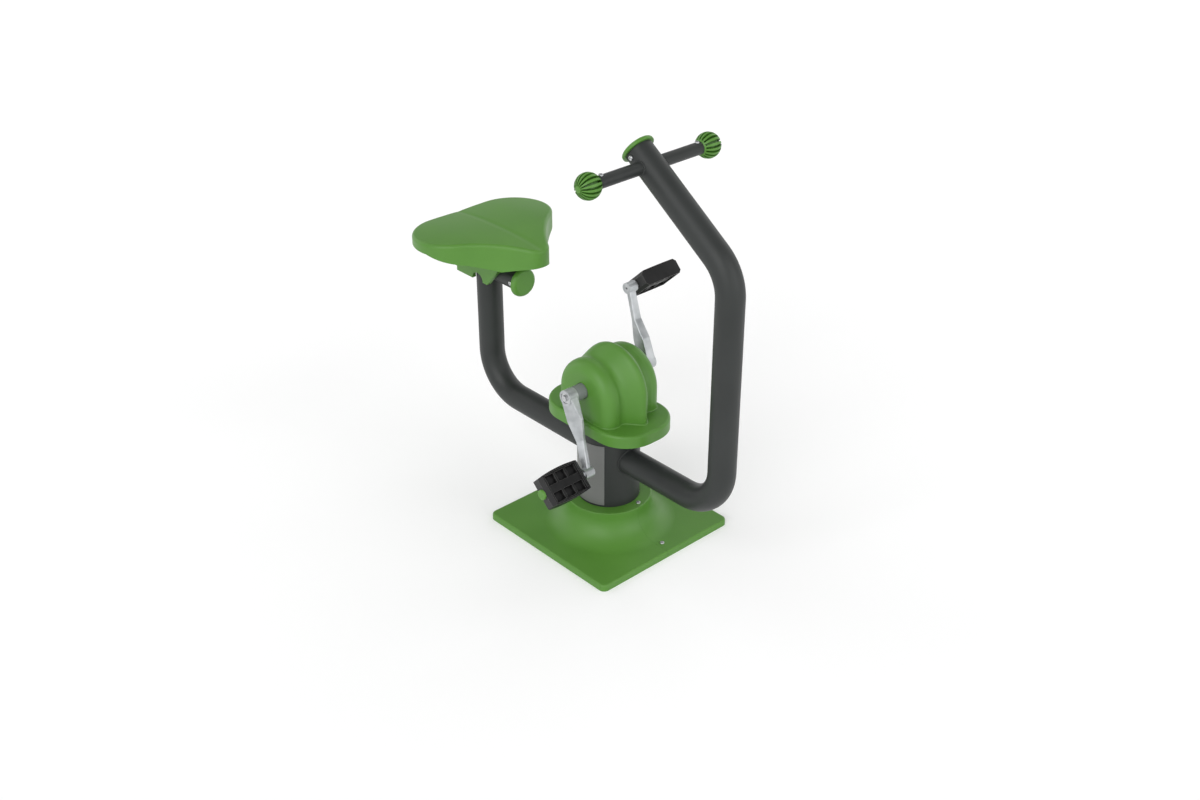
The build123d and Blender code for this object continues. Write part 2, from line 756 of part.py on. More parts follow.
def brim_form(inset):
    """The brim below the dome, or with an inset the space under that much wall."""
    plan = RectangleRounded(brim_length - 2 * inset, brim_width - 2 * inset, brim_corner - inset)
    brim = Pos(0, 0, brim_bottom) * extrude(plan, brim_top - inset - brim_bottom)
    return fillet(brim.edges().group_by(Axis.Z)[-1], brim_edge - inset)


# Housing cover: dome and brim as one shell, with bosses for its screws and holes for the sleeves
housing_outer = dome_form(0) + brim_form(0)
foot_reach = max(centre_lobe_x + centre_lobe_radius, side_lobe_radius)
foot_edges = []
for edge in housing_outer.edges():
    middle = edge @ 0.5
    level = abs((edge @ 0).Z - brim_top) < touch and abs(middle.Z - brim_top) < touch
    if level and abs(middle.Y) < side_lobe_face + touch and abs(middle.X) < foot_reach + touch:
        foot_edges.append(edge)
housing = fillet(foot_edges, dome_foot_fillet) - brim_form(housing_wall) - dome_form(housing_wall)
housing_screws = []
housing_holes = []
for x in (-housing_boss_x, housing_boss_x):
    for y in (-housing_boss_y, housing_boss_y):
        housing += rod((x, y, head_plate_top), (x, y, brim_top - housing_wall / 2), housing_boss_radius)
        place = (x, y, head_plate_bottom)
        housing -= screw_hole(place, (0, 0, -1), screw_radius + screw_thread_clearance)
        housing_holes.append(screw_hole(place, (0, 0, -1), screw_radius + screw_clearance))
        housing_screws.append(put(button_screw(screw_length), place, (0, 0, -1)))
housing -= disc(far, sleeve_radius + sleeve_hole_clearance)
write("housing_cover", housing)
write("housing_screws", *housing_screws)

# Head plate on the column, inside the brim
plate_inset = 2 * (housing_wall + head_plate_clearance)
plate_corner = brim_corner - plate_inset / 2
head_plan = RectangleRounded(brim_length - plate_inset, brim_width - plate_inset, plate_corner)
head_plate = extrude(head_plan, head_plate_thickness)
head_plate = Pos(0, 0, head_plate_bottom) * head_plate
for hole in housing_holes:
    head_plate -= hole

# Bearing brackets on the head plate, each with a ball bearing in its eye
bracket_bolts = []
for name, side in (("right", -1), ("left", 1)):
    upright_span = sorted((side * bracket_inner_face, side * (bracket_inner_face + bracket_thickness)))
    foot_span = sorted((side * bracket_inner_face, side * (bracket_inner_face + bracket_foot_reach)))
    half_foot = bracket_foot_width / 2
    bracket = prism_xz(
        [
            (-half_foot, head_plate_top),
            (half_foot, head_plate_top),
            (bracket_eye_radius, crank_axis_height),
            (-bracket_eye_radius, crank_axis_height),
        ],
        upright_span,
    )
    eye_ends = [(0, y, crank_axis_height) for y in upright_span]
    bracket += rod(eye_ends[0], eye_ends[1], bracket_eye_radius)
    foot_top = head_plate_top + bracket_foot_thickness
    bracket += slab((-half_foot, half_foot), foot_span, (head_plate_top, foot_top))
    bracket -= disc(far, bearing_outer_radius + bearing_seat_clearance)
    for x in (-bracket_bolt_x, bracket_bolt_x):
        seat = (x, side * (bracket_inner_face + bracket_bolt_reach), foot_top)
        bolt_length = bracket_foot_thickness + head_plate_thickness - thread_recess
        bracket -= put(Cylinder(bolt_radius + screw_clearance, 2 * bolt_length), seat, (0, 0, 1))
        head_plate -= put(Cylinder(bolt_radius + screw_thread_clearance, 2 * bolt_length), seat, (0, 0, 1))
        bracket_bolts.append(put(hex_bolt(bolt_length, True), seat, (0, 0, 1)))
    write(f"bearing_bracket_{name}", bracket)
    bearing = disc(bearing_width / 2, bearing_outer_radius) - disc(far, spindle_radius + running_clearance)
    write(f"bearing_{name}", Pos(0, side * bearing_middle, 0) * bearing)
write("head_plate", head_plate)
write("bracket_bolts", *bracket_bolts)

# Spindle with a tapped hole in each end and a key for the flywheel
spindle_end = crank_boss_outer - crank_bolt_recess - thread_recess
spindle = rod(axis_point - sideways * spindle_end, axis_point + sideways * spindle_end, spindle_radius)
for side in (-1, 1):
    outer_end = axis_point + sideways * side * spindle_end
    bore_end = outer_end - sideways * side * (crank_bolt_depth + thread_recess)
    spindle -= rod(bore_end, outer_end, bolt_radius + screw_thread_clearance)
key_low = crank_axis_height + spindle_radius - key_height / 2
key_high = crank_axis_height + spindle_radius + key_height / 2


def key_block(clearance):
    """The flywheel's key, or with a clearance the slot that it lies in."""
    half_width = key_width / 2 + clearance
    half_length = key_length / 2 + clearance
    z_span = (key_low - clearance, key_high + clearance)
    return slab((-half_width, half_width), (-half_length, half_length), z_span)


spindle -= key_block(key_clearance)
write("spindle", spindle)
write("flywheel_key", key_block(0))


# Flywheel: heavy rim, thin web and a keyed hub
flywheel = disc(flywheel_width / 2, flywheel_radius)
flywheel -= disc(flywheel_width / 2, flywheel_radius - flywheel_rim)
flywheel += disc(flywheel_web / 2, flywheel_radius - flywheel_rim / 2) + disc(hub_width / 2, hub_radius)
flywheel -= disc(far, spindle_radius + running_clearance)
slot_half_width = key_width / 2 + key_clearance
slot_span = (crank_axis_height, key_high + key_clearance)
flywheel -= slab((-slot_half_width, slot_half_width), (-far, far), slot_span)
write("flywheel", flywheel)

# Sleeves on the spindle between the bearings and the cranks
for name, side in (("right", -1), ("left", 1)):
    ends = [
        (0, side * (bearing_outer_face + sleeve_end_gap), crank_axis_height),
        (0, side * (crank_boss_inner - seat_clearance), crank_axis_height),
    ]
    sleeve = rod(ends[0], ends[1], sleeve_radius) - disc(far, spindle_radius + seat_clearance)
    write(f"spindle_sleeve_{name}", sleeve)


def crank_section(drop_below, half_width, thick_edge, thin_edge):
    """A crank's wedge-shaped cross section, each edge given by the reach of its inner and outer corner."""
    corners = [
        (-half_width, thick_edge[0]),
        (half_width, thin_edge[0]),
        (half_width, thin_edge[1]),
        (-half_width, thick_edge[1]),
    ]
    section = make_face(Polyline(*corners, close=True))
    return Pos(0, 0, -drop_below) * fillet(section.vertices(), crank_edge)


def edge_span(base, inset, thickness):
    """The reach of an edge's inner and outer corner, from an inset beyond a base and a thickness."""
    return base + inset, base + inset + thickness


def crank_arm():
    """A cast crank that hangs straight down from the spindle, on the left side."""
    hub, tip = crank_boss_inner, pedal_boss_inner
    hub_span = (crank_boss_inner, crank_boss_outer)
    kink_thin = edge_span(hub, crank_kink_thin_inset, crank_kink_thin_edge)
    waist_thick = edge_span(hub, crank_waist_inset, crank_waist_thick_edge)
    waist_thin = edge_span(hub, crank_waist_thin_inset, crank_waist_thin_edge)
    tip_thick = edge_span(tip, crank_tip_inset, crank_tip_thick_edge)
    tip_thin = edge_span(tip, crank_tip_thin_inset, crank_tip_thin_edge)
    arm = loft(
        [
            crank_section(0, crank_root_half_width, hub_span, hub_span),
            crank_section(crank_kink, crank_kink_half_width, hub_span, kink_thin),
            crank_section(crank_waist, crank_waist_half_width, waist_thick, waist_thin),
            crank_section(crank_length, crank_tip_half_width, tip_thick, tip_thin),
        ],
        ruled=True,
    )
    arm += rod((0, crank_boss_inner, 0), (0, crank_boss_outer, 0), crank_boss_radius)
    boss_ends = [(0, y, -crank_length) for y in (pedal_boss_inner, pedal_boss_outer)]
    arm += rod(boss_ends[0], boss_ends[1], pedal_boss_radius)
    arm -= rod((0, 0, 0), (0, far, 0), spindle_radius + seat_clearance)
    recess_floor = crank_boss_outer - crank_bolt_recess
    arm -= rod((0, recess_floor, 0), (0, far, 0), crank_bolt_recess_radius)
    thread_hole = axle_thread_radius + screw_thread_clearance
    return arm - rod((0, 0, -crank_length), (0, far, -crank_length), thread_hole)


def crank_bolt():
    """The bolt that holds a crank on the spindle, with a wide washer over the spindle's end."""
    seat = crank_boss_outer - crank_bolt_recess
    bolt = put(hex_bolt(crank_bolt_depth, False), (0, seat + washer_thickness, 0), (0, 1, 0))
    wide_washer = crank_bolt_recess_radius - screw_clearance
    return bolt + rod((0, seat, 0), (0, seat + washer_thickness, 0), wide_washer)


nut_seat = pedal_outer_face - pedal_recess_depth + pedal_end_gap


def pedal_axle():
    """An axle screwed into the crank by its socket, with a flange, a journal and a thread for its nut."""
    axle = rod((0, pedal_boss_inner + thread_recess, 0), (0, pedal_boss_outer, 0), axle_thread_radius)
    flange_end = pedal_boss_outer + axle_flange_thickness
    axle += rod((0, pedal_boss_outer, 0), (0, flange_end, 0), axle_flange_radius)
    axle += rod((0, pedal_boss_outer, 0), (0, nut_seat, 0), axle_radius)
    tip = nut_seat + pedal_nut_height + pedal_thread_show
    axle += rod((0, nut_seat, 0), (0, tip, 0), axle_tip_radius)
    socket = extrude(RegularPolygon(axle_socket_radius, 6), axle_socket_depth)
    return axle - put(socket, (0, pedal_boss_inner + thread_recess, 0), (0, 1, 0))


def pedal_nut():
    """The nut on the axle's tip, with its washer."""
    body = extrude(RegularPolygon(pedal_nut_radius, 6), pedal_nut_height)
    body += rod((0, 0, 0), (0, 0, washer_thickness), pedal_nut_washer_radius)
    body -= Cylinder(axle_tip_radius + screw_thread_clearance, far)
    return put(body, (0, nut_seat, 0), (0, 1, 0))


def pedal_body():
    """A block pedal along the axle, with bevelled ends and rows of pockets on both faces."""
    low, high = pedal_inner_face, pedal_outer_face
    half_end, half_middle = pedal_end_thickness / 2, pedal_thickness / 2
    profile = make_face(
        Polyline(
            (low, -half_end),
            (low + pedal_bevel, -half_middle),
            (high - pedal_bevel, -half_middle),
            (high, -half_end),
            (high, half_end),
            (high - pedal_bevel, half_middle),
            (low + pedal_bevel, half_middle),
            (low, half_end),
            close=True,
        )
    )
    body = extrude(Plane.YZ * profile, pedal_width / 2, both=True)
    outline = Pos(0, (low + high) / 2, 0) * RectangleRounded(pedal_width, pedal_length, pedal_corner)
    side_offset = pedal_side_radius - pedal_width / 2
    for row in (-1, 1):
        outline &= Pos(row * side_offset, (low + high) / 2) * Circle(pedal_side_radius)
    body &= extrude(outline, pedal_thickness, both=True)
    flat_span = (low + pedal_bevel + pedal_lip, high - pedal_bevel - pedal_lip)
    tread = offset(outline, -pedal_lip) & slab((-far, far), flat_span, (-touch, touch))
    for face in (-1, 1):
        body -= Pos(0, 0, face * half_middle) * extrude(tread, pedal_lip_depth, both=True)
    pocket_start = flat_span[0] + pedal_rib / 2
    pocket_pitch = (flat_span[1] - flat_span[0]) / pedal_pockets
    for face in (-1, 1):
        z_span = sorted((face * (half_middle - pedal_pocket_depth), face * pedal_thickness))
        for row in (-1, 1):
            x_span = sorted((row * pedal_spine / 2, row * (pedal_width / 2 - pedal_rim)))
            for count in range(pedal_pockets):
                start = pocket_start + count * pocket_pitch
                body -= slab(x_span, (start, start + pocket_pitch - pedal_rib), z_span)
    body -= rod((0, 0, 0), (0, far, 0), bush_radius + bearing_seat_clearance)
    return body - rod((0, high - pedal_recess_depth, 0), (0, far, 0), pedal_recess_radius)


def pedal_bush(start):
    """A plain bush in the pedal, on the axle's journal."""
    bush = rod((0, start, 0), (0, start + bush_length, 0), bush_radius)
    return bush - rod((0, 0, 0), (0, far, 0), axle_radius + running_clearance)


def pedal_cap():
    """The cap that closes the pedal's outer end."""
    cap = Cylinder(pedal_cap_radius, pedal_cap_height, align=(Align.CENTER, Align.CENTER, Align.MIN))
    cap = fillet(cap.edges().group_by(Axis.Z)[-1], pedal_cap_edge)
    cap += rod((0, 0, -pedal_cap_plug), (0, 0, 0), pedal_recess_radius - plug_clearance)
    return put(cap, (0, pedal_outer_face, 0), (0, 1, 0))


def sided(side, shape):
    """A piece made for the left side, or its mirror image for the right."""
    return shape if side > 0 else mirror(shape, about=Plane.XZ)


# Cranks, axles and pedals, the right crank down and forward and the left one opposite
crank_bolts = []
pedal_nuts = []
for name, side, turn, pitch in (
    ("right", -1, -crank_angle, right_pedal_pitch),
    ("left", 1, 180 - crank_angle, left_pedal_pitch),
):
    crank_place = Pos(0, 0, crank_axis_height) * Rot(0, turn, 0)
    pedal_place = crank_place * Pos(0, 0, -crank_length) * Rot(0, pitch - turn, 0)
    write(f"crank_arm_{name}", crank_place * sided(side, crank_arm()))
    crank_bolts.append(crank_place * sided(side, crank_bolt()))
    write(f"pedal_axle_{name}", pedal_place * sided(side, pedal_axle()))
    pedal_nuts.append(pedal_place * sided(side, pedal_nut()))
    write(f"pedal_body_{name}", pedal_place * sided(side, pedal_body()))
    bushes = [pedal_bush(pedal_inner_face), pedal_bush(pedal_outer_face - pedal_recess_depth - bush_length)]
    write(f"pedal_bushes_{name}", *[pedal_place * sided(side, bush) for bush in bushes])
    write(f"pedal_cap_{name}", pedal_place * sided(side, pedal_cap()))
write("crank_bolts", *crank_bolts)
write("pedal_nuts", *pedal_nuts)
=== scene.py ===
import math

import bpy
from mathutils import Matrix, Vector


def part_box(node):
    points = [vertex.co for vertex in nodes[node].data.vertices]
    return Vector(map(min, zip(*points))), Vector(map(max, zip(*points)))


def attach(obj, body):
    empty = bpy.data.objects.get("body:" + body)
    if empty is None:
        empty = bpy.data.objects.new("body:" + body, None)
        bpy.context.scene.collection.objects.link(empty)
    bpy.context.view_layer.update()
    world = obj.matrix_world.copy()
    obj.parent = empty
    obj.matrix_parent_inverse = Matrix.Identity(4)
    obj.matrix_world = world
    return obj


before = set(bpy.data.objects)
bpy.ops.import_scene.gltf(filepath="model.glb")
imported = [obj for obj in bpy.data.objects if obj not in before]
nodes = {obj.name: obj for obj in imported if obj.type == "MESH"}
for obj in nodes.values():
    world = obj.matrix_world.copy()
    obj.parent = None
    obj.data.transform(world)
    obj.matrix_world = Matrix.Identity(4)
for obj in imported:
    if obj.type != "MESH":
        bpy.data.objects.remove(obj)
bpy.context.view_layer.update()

# Studio: a wide pale floor and white walls under a dim ceiling, in even soft light from four sides.
# The bike stands on the floor at the origin and faces +X, and the camera has the catalogue view.
photo_width_px = 1200.0
focal_px = 1488.5
sensor_width_mm = 36.0
camera_place = Vector((2.6257, -2.4438, 2.4836))
camera_angles = (47.455, 30.066)
lamp_width = math.radians(50.0)
lamp_distance = 4.0
lamps = {
    "key_lamp": {"angles": (18.0, 32.0), "strength": 1.5},
    "side_lamp": {"angles": (100.0, 25.0), "strength": 1.0},
    "back_lamp": {"angles": (285.0, 30.0), "strength": 0.5},
    "far_lamp": {"angles": (190.0, 32.0), "strength": 0.5},
}
sky_light = 0.46
white_wall_top = 0.10
dark_ceiling_start = 0.42
wall_tone = 1.0
ceiling_tone = 0.25
white = (1.0, 1.0, 1.0, 1.0)
floor_half_width = 30.0
floor_colour = (0.9, 0.9, 0.9, 1.0)
floor_glow = 0.12

scene = bpy.context.scene
scene.view_settings.view_transform = "Standard"


def add_object(name, data):
    """A new object in the scene that holds a camera, a lamp or a mesh."""
    made = bpy.data.objects.new(name, data)
    scene.collection.objects.link(made)
    return made


def towards(azimuth, elevation):
    """The direction from the bike to something round it, by its angles in degrees."""
    turn = math.radians(azimuth)
    rise = math.radians(elevation)
    return Vector((math.sin(turn) * math.cos(rise), -math.cos(turn) * math.cos(rise), math.sin(rise)))


def facing_bike(angles):
    """The turn of a camera or a lamp that looks at the bike from its angles."""
    return (-towards(*angles)).to_track_quat("-Z", "Y").to_euler()


camera = add_object("camera", bpy.data.cameras.new("camera"))
camera.data.sensor_width = sensor_width_mm
camera.data.lens = sensor_width_mm * focal_px / photo_width_px
camera.location = camera_place
camera.rotation_euler = facing_bike(camera_angles)
scene.camera = camera

for name, settings in lamps.items():
    light = bpy.data.lights.new(name, "SUN")
    light.angle = lamp_width
    light.energy = settings["strength"]
    lamp = add_object(name, light)
    lamp.location = towards(*settings["angles"]) * lamp_distance
    lamp.rotation_euler = facing_bike(settings["angles"])


def give(socket, value):
    """Gives a socket a plain value, or a link from another socket."""
    if isinstance(value, bpy.types.NodeSocket):
        socket.id_data.links.new(value, socket)
    else:
        socket.default_value = value


def feed(node, **settings):
    """Sets up a node: a setting named for a socket is given to it, the others set the node itself."""
    for name, value in settings.items():
        socket = node.inputs.get(name.replace("_", " "))
        if socket is None:
            setattr(node, name, value)
        else:
            give(socket, value)


def add_node(tree, kind, *inputs, **settings):
    """A shader node, with its settings by name and then its inputs in the order of its sockets."""
    node = tree.nodes.new(kind)
    feed(node, **settings)
    for socket, value in zip(node.inputs, inputs):
        give(socket, value)
    return node


def calculate(tree, operation, *terms):
    """One step of arithmetic on sockets or plain numbers."""
    return add_node(tree, "ShaderNodeMath", *terms, operation=operation).outputs[0]


def part_along(tree, direction, axis):
    """How much of a direction lies along one axis."""
    return add_node(tree, "ShaderNodeSeparateXYZ", direction).outputs[axis]


def soft_step(tree, value, start, end, low=0.0, high=1.0):
    """Goes over from low to high, eased, as a value passes from start to end."""
    step = add_node(
        tree, "ShaderNodeMapRange", interpolation_type="SMOOTHSTEP", Value=value,
        From_Min=start, From_Max=end, To_Min=low, To_Max=high,
    )
    return step.outputs["Result"]


def empty_tree(owner):
    """The node tree of a world or a material, with nothing in it yet."""
    owner.use_nodes = True
    owner.node_tree.nodes.clear()
    return owner.node_tree


def seen_rays(tree):
    """The rays that look at the background itself: from the camera, a gloss or a clear piece."""
    rays = add_node(tree, "ShaderNodeLightPath").outputs
    seen_or_glossy = calculate(tree, "MAXIMUM", rays["Is Camera Ray"], rays["Is Glossy Ray"])
    return calculate(tree, "MAXIMUM", seen_or_glossy, rays["Is Transmission Ray"])


scene.world = bpy.data.worlds.new("studio")
sky = empty_tree(scene.world)
sky_way = add_node(sky, "ShaderNodeTexCoord").outputs["Generated"]
sky_height = part_along(sky, sky_way, "Z")
sky_tone = soft_step(sky, sky_height, white_wall_top, dark_ceiling_start, wall_tone, ceiling_tone)
sky_lit = add_node(sky, "ShaderNodeBackground", Color=white, Strength=sky_light)
sky_seen = add_node(sky, "ShaderNodeBackground", Color=white, Strength=sky_tone)
sky_mix = add_node(sky, "ShaderNodeMixShader", seen_rays(sky), sky_lit.outputs[0], sky_seen.outputs[0])
add_node(sky, "ShaderNodeOutputWorld", Surface=sky_mix.outputs[0])

floor_paper = bpy.data.materials.new("floor_paper")
paper = empty_tree(floor_paper)
paper_level = calculate(paper, "MULTIPLY", seen_rays(paper), floor_glow)
paper_tone = add_node(paper, "ShaderNodeBsdfDiffuse", Color=floor_colour)
paper_glow = add_node(paper, "ShaderNodeEmission", Color=white, Strength=paper_level)
paper_sum = add_node(paper, "ShaderNodeAddShader", paper_tone.outputs[0], paper_glow.outputs[0])
add_node(paper, "ShaderNodeOutputMaterial", Surface=paper_sum.outputs[0])
floor_mesh = bpy.data.meshes.new("floor")
corner_signs = ((-1, -1), (1, -1), (1, 1), (-1, 1))
floor_corners = [(x * floor_half_width, y * floor_half_width, 0.0) for x, y in corner_signs]
floor_mesh.from_pydata(floor_corners, [], [(0, 1, 2, 3)])
floor_mesh.materials.append(floor_paper)
floor = add_object("floor", floor_mesh)


# Base flange, head plate, bearing brackets, bearings, spindle and key: the steel inside the covers.
# Plates are cut and the round pieces turned, all zinc plated, then welded or bolted together.
def linear(red, green, blue):
    """A colour given by its screen values, as a shader takes it."""
    levels = [value / 255 for value in (red, green, blue)]
    tones = [((v + 0.055) / 1.055) ** 2.4 if v > 0.04045 else v / 12.92 for v in levels]
    return (*tones, 1.0)


zinc_dark = linear(160, 164, 168)
zinc_pale = linear(192, 196, 199)
zinc_metal = 0.9
zinc_roughness = (0.45, 0.28)
zinc_grain_size = 0.004
zinc_grain_depth = 0.00005
zinc_patch_size = 0.03
cloud_breakup = 0.55
cloud_low = 0.3
cloud_high = 0.7
fine_detail = 3.0
slow_detail = 2.0


def effect_group(name, inputs, outputs):
    """A shader node group with named number sockets: the group, what comes in, and its way out."""
    group = bpy.data.node_groups.new(name, "ShaderNodeTree")
    for socket, value in inputs.items():
        made = group.interface.new_socket(socket, in_out="INPUT", socket_type="NodeSocketFloat")
        made.default_value = value
    for socket in outputs:
        group.interface.new_socket(socket, in_out="OUTPUT", socket_type="NodeSocketFloat")
    return group, group.nodes.new("NodeGroupInput").outputs, group.nodes.new("NodeGroupOutput")


def cloud_of_size(tree, size, place, detail):
    """Noise whose lumps have a size in metres."""
    per_metre = calculate(tree, "DIVIDE", 1.0, size)
    cloud = add_node(
        tree, "ShaderNodeTexNoise", Vector=place, Scale=per_metre, Detail=detail, Roughness=cloud_breakup)
    return cloud.outputs["Fac"]


# Grain: fine relief for the bump, and a slow drift of tone and gloss over the piece.
surface_grain, grain_in, grain_out = effect_group(
    "surface_grain", {"Grain Size": 0.001, "Drift Size": 0.12}, ("Height", "Drift"))
grain_place = add_node(surface_grain, "ShaderNodeTexCoord").outputs["Object"]
feed(
    grain_out,
    Height=cloud_of_size(surface_grain, grain_in["Grain Size"], grain_place, fine_detail),
    Drift=cloud_of_size(surface_grain, grain_in["Drift Size"], grain_place, slow_detail),
)


def start_material(name, **settings):
    """A new material, its node tree and its shader, set up."""
    material = bpy.data.materials.new(name)
    tree = empty_tree(material)
    shader = add_node(tree, "ShaderNodeBsdfPrincipled", **settings)
    add_node(tree, "ShaderNodeOutputMaterial", Surface=shader.outputs[0])
    return material, tree, shader


def add_effect(tree, group, **values):
    """What a shared effect puts out, placed in a material with its own values."""
    return add_node(tree, "ShaderNodeGroup", node_tree=group, **values).outputs


def blend_colours(tree, mask, first, second):
    """One colour going over into another by a mask; each is a colour or a socket."""
    mix = add_node(tree, "ShaderNodeMix", data_type="RGBA")
    sockets = {socket.identifier: socket for socket in mix.inputs}
    give(sockets["Factor_Float"], mask)
    give(sockets["A_Color"], first)
    give(sockets["B_Color"], second)
    return next(socket for socket in mix.outputs if socket.identifier == "Result_Color")


def spread(tree, cloud, low=0.0, high=1.0):
    """A cloud's middle range stretched between two values."""
    span = add_node(
        tree, "ShaderNodeMapRange", Value=cloud,
        From_Min=cloud_low, From_Max=cloud_high, To_Min=low, To_Max=high,
    )
    return span.outputs["Result"]


def relief(tree, height, depth):
    """The normal of a surface with relief of a depth in metres."""
    return add_node(tree, "ShaderNodeBump", Height=height, Strength=1.0, Distance=depth).outputs["Normal"]


def dress(material, *names):
    """Gives a finish to pieces of the frame."""
    for name in names:
        mesh = nodes[name].data
        mesh.materials.clear()
        mesh.materials.append(material)


zinc_steel, zinc, zinc_shader = start_material("zinc_steel", Metallic=zinc_metal)
zinc_grain = add_effect(zinc, surface_grain, Grain_Size=zinc_grain_size, Drift_Size=zinc_patch_size)
feed(
    zinc_shader,
    Base_Color=blend_colours(zinc, spread(zinc, zinc_grain["Drift"]), zinc_dark, zinc_pale),
    Roughness=spread(zinc, zinc_grain["Drift"], *zinc_roughness),
    Normal=relief(zinc, zinc_grain["Height"], zinc_grain_depth),
)
dress(
    zinc_steel, "base_flange", "head_plate", "bearing_bracket_right", "bearing_bracket_left",
    "bearing_right", "bearing_left", "spindle", "flywheel_key",
)


# Column, seat tube, mast, support tube and crossbar: the welded steel frame.
# Drawn tube, bent cold, welded together, then powder coated dark grey all over.
coat_dark = linear(38, 41, 40)
coat_pale = linear(46, 49, 48)
coat_dust = linear(92, 92, 88)
coat_shine = 0.4
coat_roughness = (0.42, 0.54)
coat_drift_size = 0.18
coat_dust_amount = 0.05
coat_dust_patch = 0.03
peel_size = 0.0022
peel_depth = 0.00003
dust_detail = 4.0
dust_starts_at = 0.35
dust_full_at = 1.0

# Dust: a thin veil on what faces up at rest, in uneven patches.
settled_dust, dust_in, dust_out = effect_group("settled_dust", {"Amount": 0.2, "Patch Size": 0.05}, ("Mask",))
dust_spot = add_node(settled_dust, "ShaderNodeTexCoord").outputs
dust_upward = part_along(settled_dust, dust_spot["Normal"], "Z")
dust_lie = soft_step(settled_dust, dust_upward, dust_starts_at, dust_full_at)
dust_patches = cloud_of_size(settled_dust, dust_in["Patch Size"], dust_spot["Object"], dust_detail)
dust_uneven = calculate(settled_dust, "MULTIPLY", dust_lie, dust_patches)
feed(dust_out, Mask=calculate(settled_dust, "MULTIPLY", dust_uneven, dust_in["Amount"]))

grey_coat, coat, coat_shader = start_material("grey_coat", Specular_IOR_Level=coat_shine)
coat_peel = add_effect(coat, surface_grain, Grain_Size=peel_size, Drift_Size=coat_drift_size)
coat_veil = add_effect(coat, settled_dust, Amount=coat_dust_amount, Patch_Size=coat_dust_patch)
coat_tone = blend_colours(coat, spread(coat, coat_peel["Drift"]), coat_dark, coat_pale)
feed(
    coat_shader,
    Base_Color=blend_colours(coat, coat_veil["Mask"], coat_tone, coat_dust),
    Roughness=spread(coat, coat_peel["Drift"], *coat_roughness),
    Normal=relief(coat, coat_peel["Height"], peel_depth),
)
dress(grey_coat, "column_tube", "seat_tube", "mast_tube", "support_tube", "crossbar")


# Weld beads: rippled steel laid round four joints of the frame, under the same coat.
# One goes round each run where it meets the column, and one round the crossbar on each side of the mast.
bead_radius = 0.0029
bead_offset = 0.0006
bead_waist = 0.82
ripple_pitch = 0.0042
steps_per_ripple = 6
bead_sides = 10
mast_lean = math.radians(35.0)


def weld_bead(name, joint_line):
    """A closed bead of overlapping ripples along the line where two tubes meet."""
    middle = sum(joint_line, Vector()) / len(joint_line)
    corners = []
    faces = []
    rings = len(joint_line)
    for ring, here in enumerate(joint_line):
        along = (joint_line[(ring + 1) % rings] - joint_line[ring - 1]).normalized()
        across = along.cross(here - middle).normalized()
        outward = across.cross(along)
        ripple = abs(math.sin(math.pi * ring / steps_per_ripple))
        radius = bead_radius * (bead_waist + (1 - bead_waist) * ripple)
        start = ring * bead_sides
        onward = (ring + 1) % rings * bead_sides
        for side in range(bead_sides):
            turn = 2 * math.pi * side / bead_sides
            corners.append(here + (across * math.cos(turn) + outward * math.sin(turn)) * radius)
            next_side = (side + 1) % bead_sides
            faces.append((start + side, start + next_side, onward + next_side, onward + side))
    mesh = bpy.data.meshes.new(name)
    mesh.from_pydata(corners, [], faces)
    mesh.materials.append(grey_coat)
    mesh.shade_smooth()
    bead = add_object(name, mesh)
    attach(bead, "frame")


def ripple_turns(around):
    """The angles of a bead's steps round a line of a length, a whole number of ripples."""
    steps = round(around / ripple_pitch) * steps_per_ripple
    return [2 * math.pi * step / steps for step in range(steps)]


column_low, column_high = (Vector(corner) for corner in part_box("column_tube"))
mast_low, mast_high = (Vector(corner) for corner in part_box("mast_tube"))
bar_low, bar_high = (Vector(corner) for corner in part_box("crossbar"))
column_radius = (column_high.x - column_low.x) / 2 + bead_offset
tube_radius = (mast_high.y - mast_low.y) / 2
joint_radius = tube_radius + bead_offset
run_height = mast_low.z + tube_radius
for name, facing in (("weld_mast_run", 1), ("weld_seat_run", -1)):
    run_line = []
    for turn in ripple_turns(2 * math.pi * joint_radius):
        sideways = joint_radius * math.sin(turn)
        reach = math.sqrt(column_radius ** 2 - sideways ** 2)
        run_line.append(Vector((facing * reach, sideways, run_height + joint_radius * math.cos(turn))))
    weld_bead(name, run_line)

bar_middle = (bar_low + bar_high) / 2
bar_radius = (bar_high.z - bar_low.z) / 2 + bead_offset
along_mast = Vector((-math.cos(mast_lean), 0, math.sin(mast_lean)))
over_mast = Vector((math.sin(mast_lean), 0, math.cos(mast_lean)))
for name, facing in (("weld_bar_right", -1), ("weld_bar_left", 1)):
    bar_line = []
    for turn in ripple_turns(2 * math.pi * bar_radius):
        rise = bar_radius * math.sin(turn)
        reach = math.sqrt(joint_radius ** 2 - rise ** 2)
        outward = Vector((0, facing * reach, 0))
        bar_line.append(bar_middle + along_mast * bar_radius * math.cos(turn) + over_mast * rise + outward)
    weld_bead(name, bar_line)


# Information plate: a blank aluminium sheet rolled to the column and glued on.
# Its face is anodised matt grey with a fine brushed grain round the column.
plate_dark = linear(112, 113, 112)
plate_pale = linear(122, 123, 121)
plate_metal = 0.25
plate_roughness = (0.42, 0.55)
plate_drift_size = 0.06
brush_lines = (14.0, 14.0, 1800.0)
brush_depth = 0.00002


def streaks(tree, lines_per_metre):
    """Noise drawn out into streaks, by how many of its lumps a metre holds along each axis."""
    place = add_node(tree, "ShaderNodeTexCoord").outputs["Object"]
    stretch = add_node(tree, "ShaderNodeMapping", Vector=place, Scale=lines_per_metre)
    marks = add_node(tree, "ShaderNodeTexNoise", Vector=stretch.outputs[0], Scale=1.0, Detail=slow_detail)
    return marks.outputs["Fac"]


